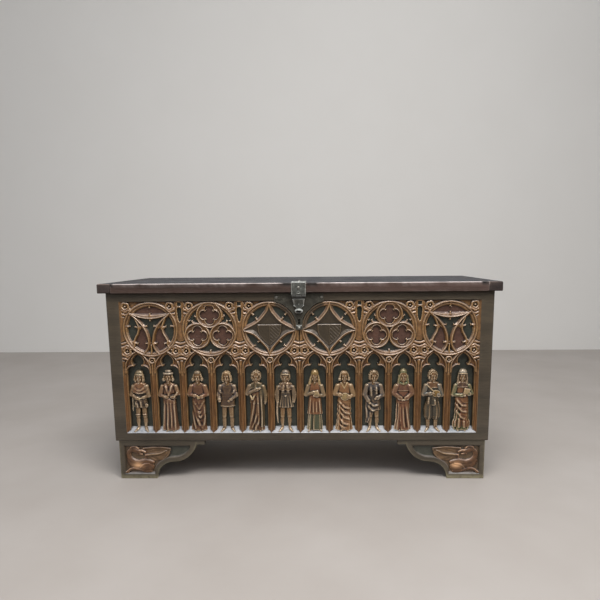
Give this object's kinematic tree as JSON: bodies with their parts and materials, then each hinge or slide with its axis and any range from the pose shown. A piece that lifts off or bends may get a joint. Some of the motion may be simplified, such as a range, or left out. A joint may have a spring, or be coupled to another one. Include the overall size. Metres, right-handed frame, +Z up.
{
  "type": "coffer chest",
  "caption": "Carved oak coffer with arched figure niches, traceried roundels, hinged lid, hasp lock and bracket feet.",
  "frame": {"origin": "on the floor, under the middle of the lid", "axes": "+X to the right seen from the front, +Y to the back, +Z up"},
  "size_m": [1.24, 0.5155, 0.6425],
  "materials": {
    "carved_oak": "stained and painted carving, worn",
    "figure_oak": "painted carving, worn",
    "carved_foot_oak": "stained carving, worn",
    "foot_oak": "dark stain",
    "carcass_oak": "dark stain",
    "lid_oak": "dark stain, waxed",
    "wrought_iron": "wrought, worn",
    "lock_plate_iron": "wrought, dark",
    "nail_iron": "hammered",
    "spring_steel": "drawn strip"
  },
  "bodies": {
    "chest": {"front_board": "carved_oak", "left_side_board": "carcass_oak", "right_side_board": "carcass_oak", "back_board": "carcass_oak", "bottom_board_front": "carcass_oak", "bottom_board_middle": "carcass_oak", "bottom_board_back": "carcass_oak", "figure_01": "figure_oak", "figure_02": "figure_oak", "figure_03": "figure_oak", "figure_04": "figure_oak", "figure_05": "figure_oak", "figure_06": "figure_oak", "figure_07": "figure_oak", "figure_08": "figure_oak", "figure_09": "figure_oak", "figure_10": "figure_oak", "figure_11": "figure_oak", "figure_12": "figure_oak", "foot_front_left": "carved_foot_oak", "foot_front_right": "carved_foot_oak", "foot_end_front_left": "foot_oak", "foot_end_front_right": "foot_oak", "foot_end_back_left": "foot_oak", "foot_end_back_right": "foot_oak", "foot_back_left": "foot_oak", "foot_back_right": "foot_oak", "corner_block_front_left": "carcass_oak", "corner_block_front_right": "carcass_oak", "corner_block_back_left": "carcass_oak", "corner_block_back_right": "carcass_oak", "lock_plate": "lock_plate_iron", "lock_plate_nails": "nail_iron", "lock_case": "wrought_iron", "key_pin": "wrought_iron", "lock_spring": "spring_steel", "hinge_left_body_leaf": "wrought_iron", "hinge_right_body_leaf": "wrought_iron", "hinge_left_pin": "wrought_iron", "hinge_right_pin": "wrought_iron", "body_hinge_nails": "nail_iron"},
    "lid": {"lid_front_board": "lid_oak", "lid_back_board": "lid_oak", "lid_left_cleat": "lid_oak", "lid_right_cleat": "lid_oak", "lid_dowels": "lid_oak", "hinge_left_lid_leaf": "wrought_iron", "hinge_right_lid_leaf": "wrought_iron", "lid_hinge_nails": "nail_iron", "hasp_strap": "wrought_iron", "hasp_strap_nails": "nail_iron", "hasp_pin": "wrought_iron"},
    "hasp": {"hasp_tongue": "wrought_iron", "hasp_staple": "wrought_iron"},
    "bolt": {"lock_bolt": "wrought_iron"}
  },
  "joints": [
    {"name": "lid_hinge", "type": "hinge", "parent": "chest", "child": "lid", "pos_m": [0, 0.2552, 0.608], "axis": [-1, 0, 0], "range_deg": [0, 100]},
    {"name": "hasp_swing", "type": "hinge", "parent": "lid", "child": "hasp", "pos_m": [0, -0.2515, 0.596], "axis": [-1, 0, 0], "range_deg": [0, 120]},
    {"name": "bolt_throw", "type": "slide", "parent": "chest", "child": "bolt", "axis": [-1, 0, 0], "range_m": [0, 0.008]}
  ]
}
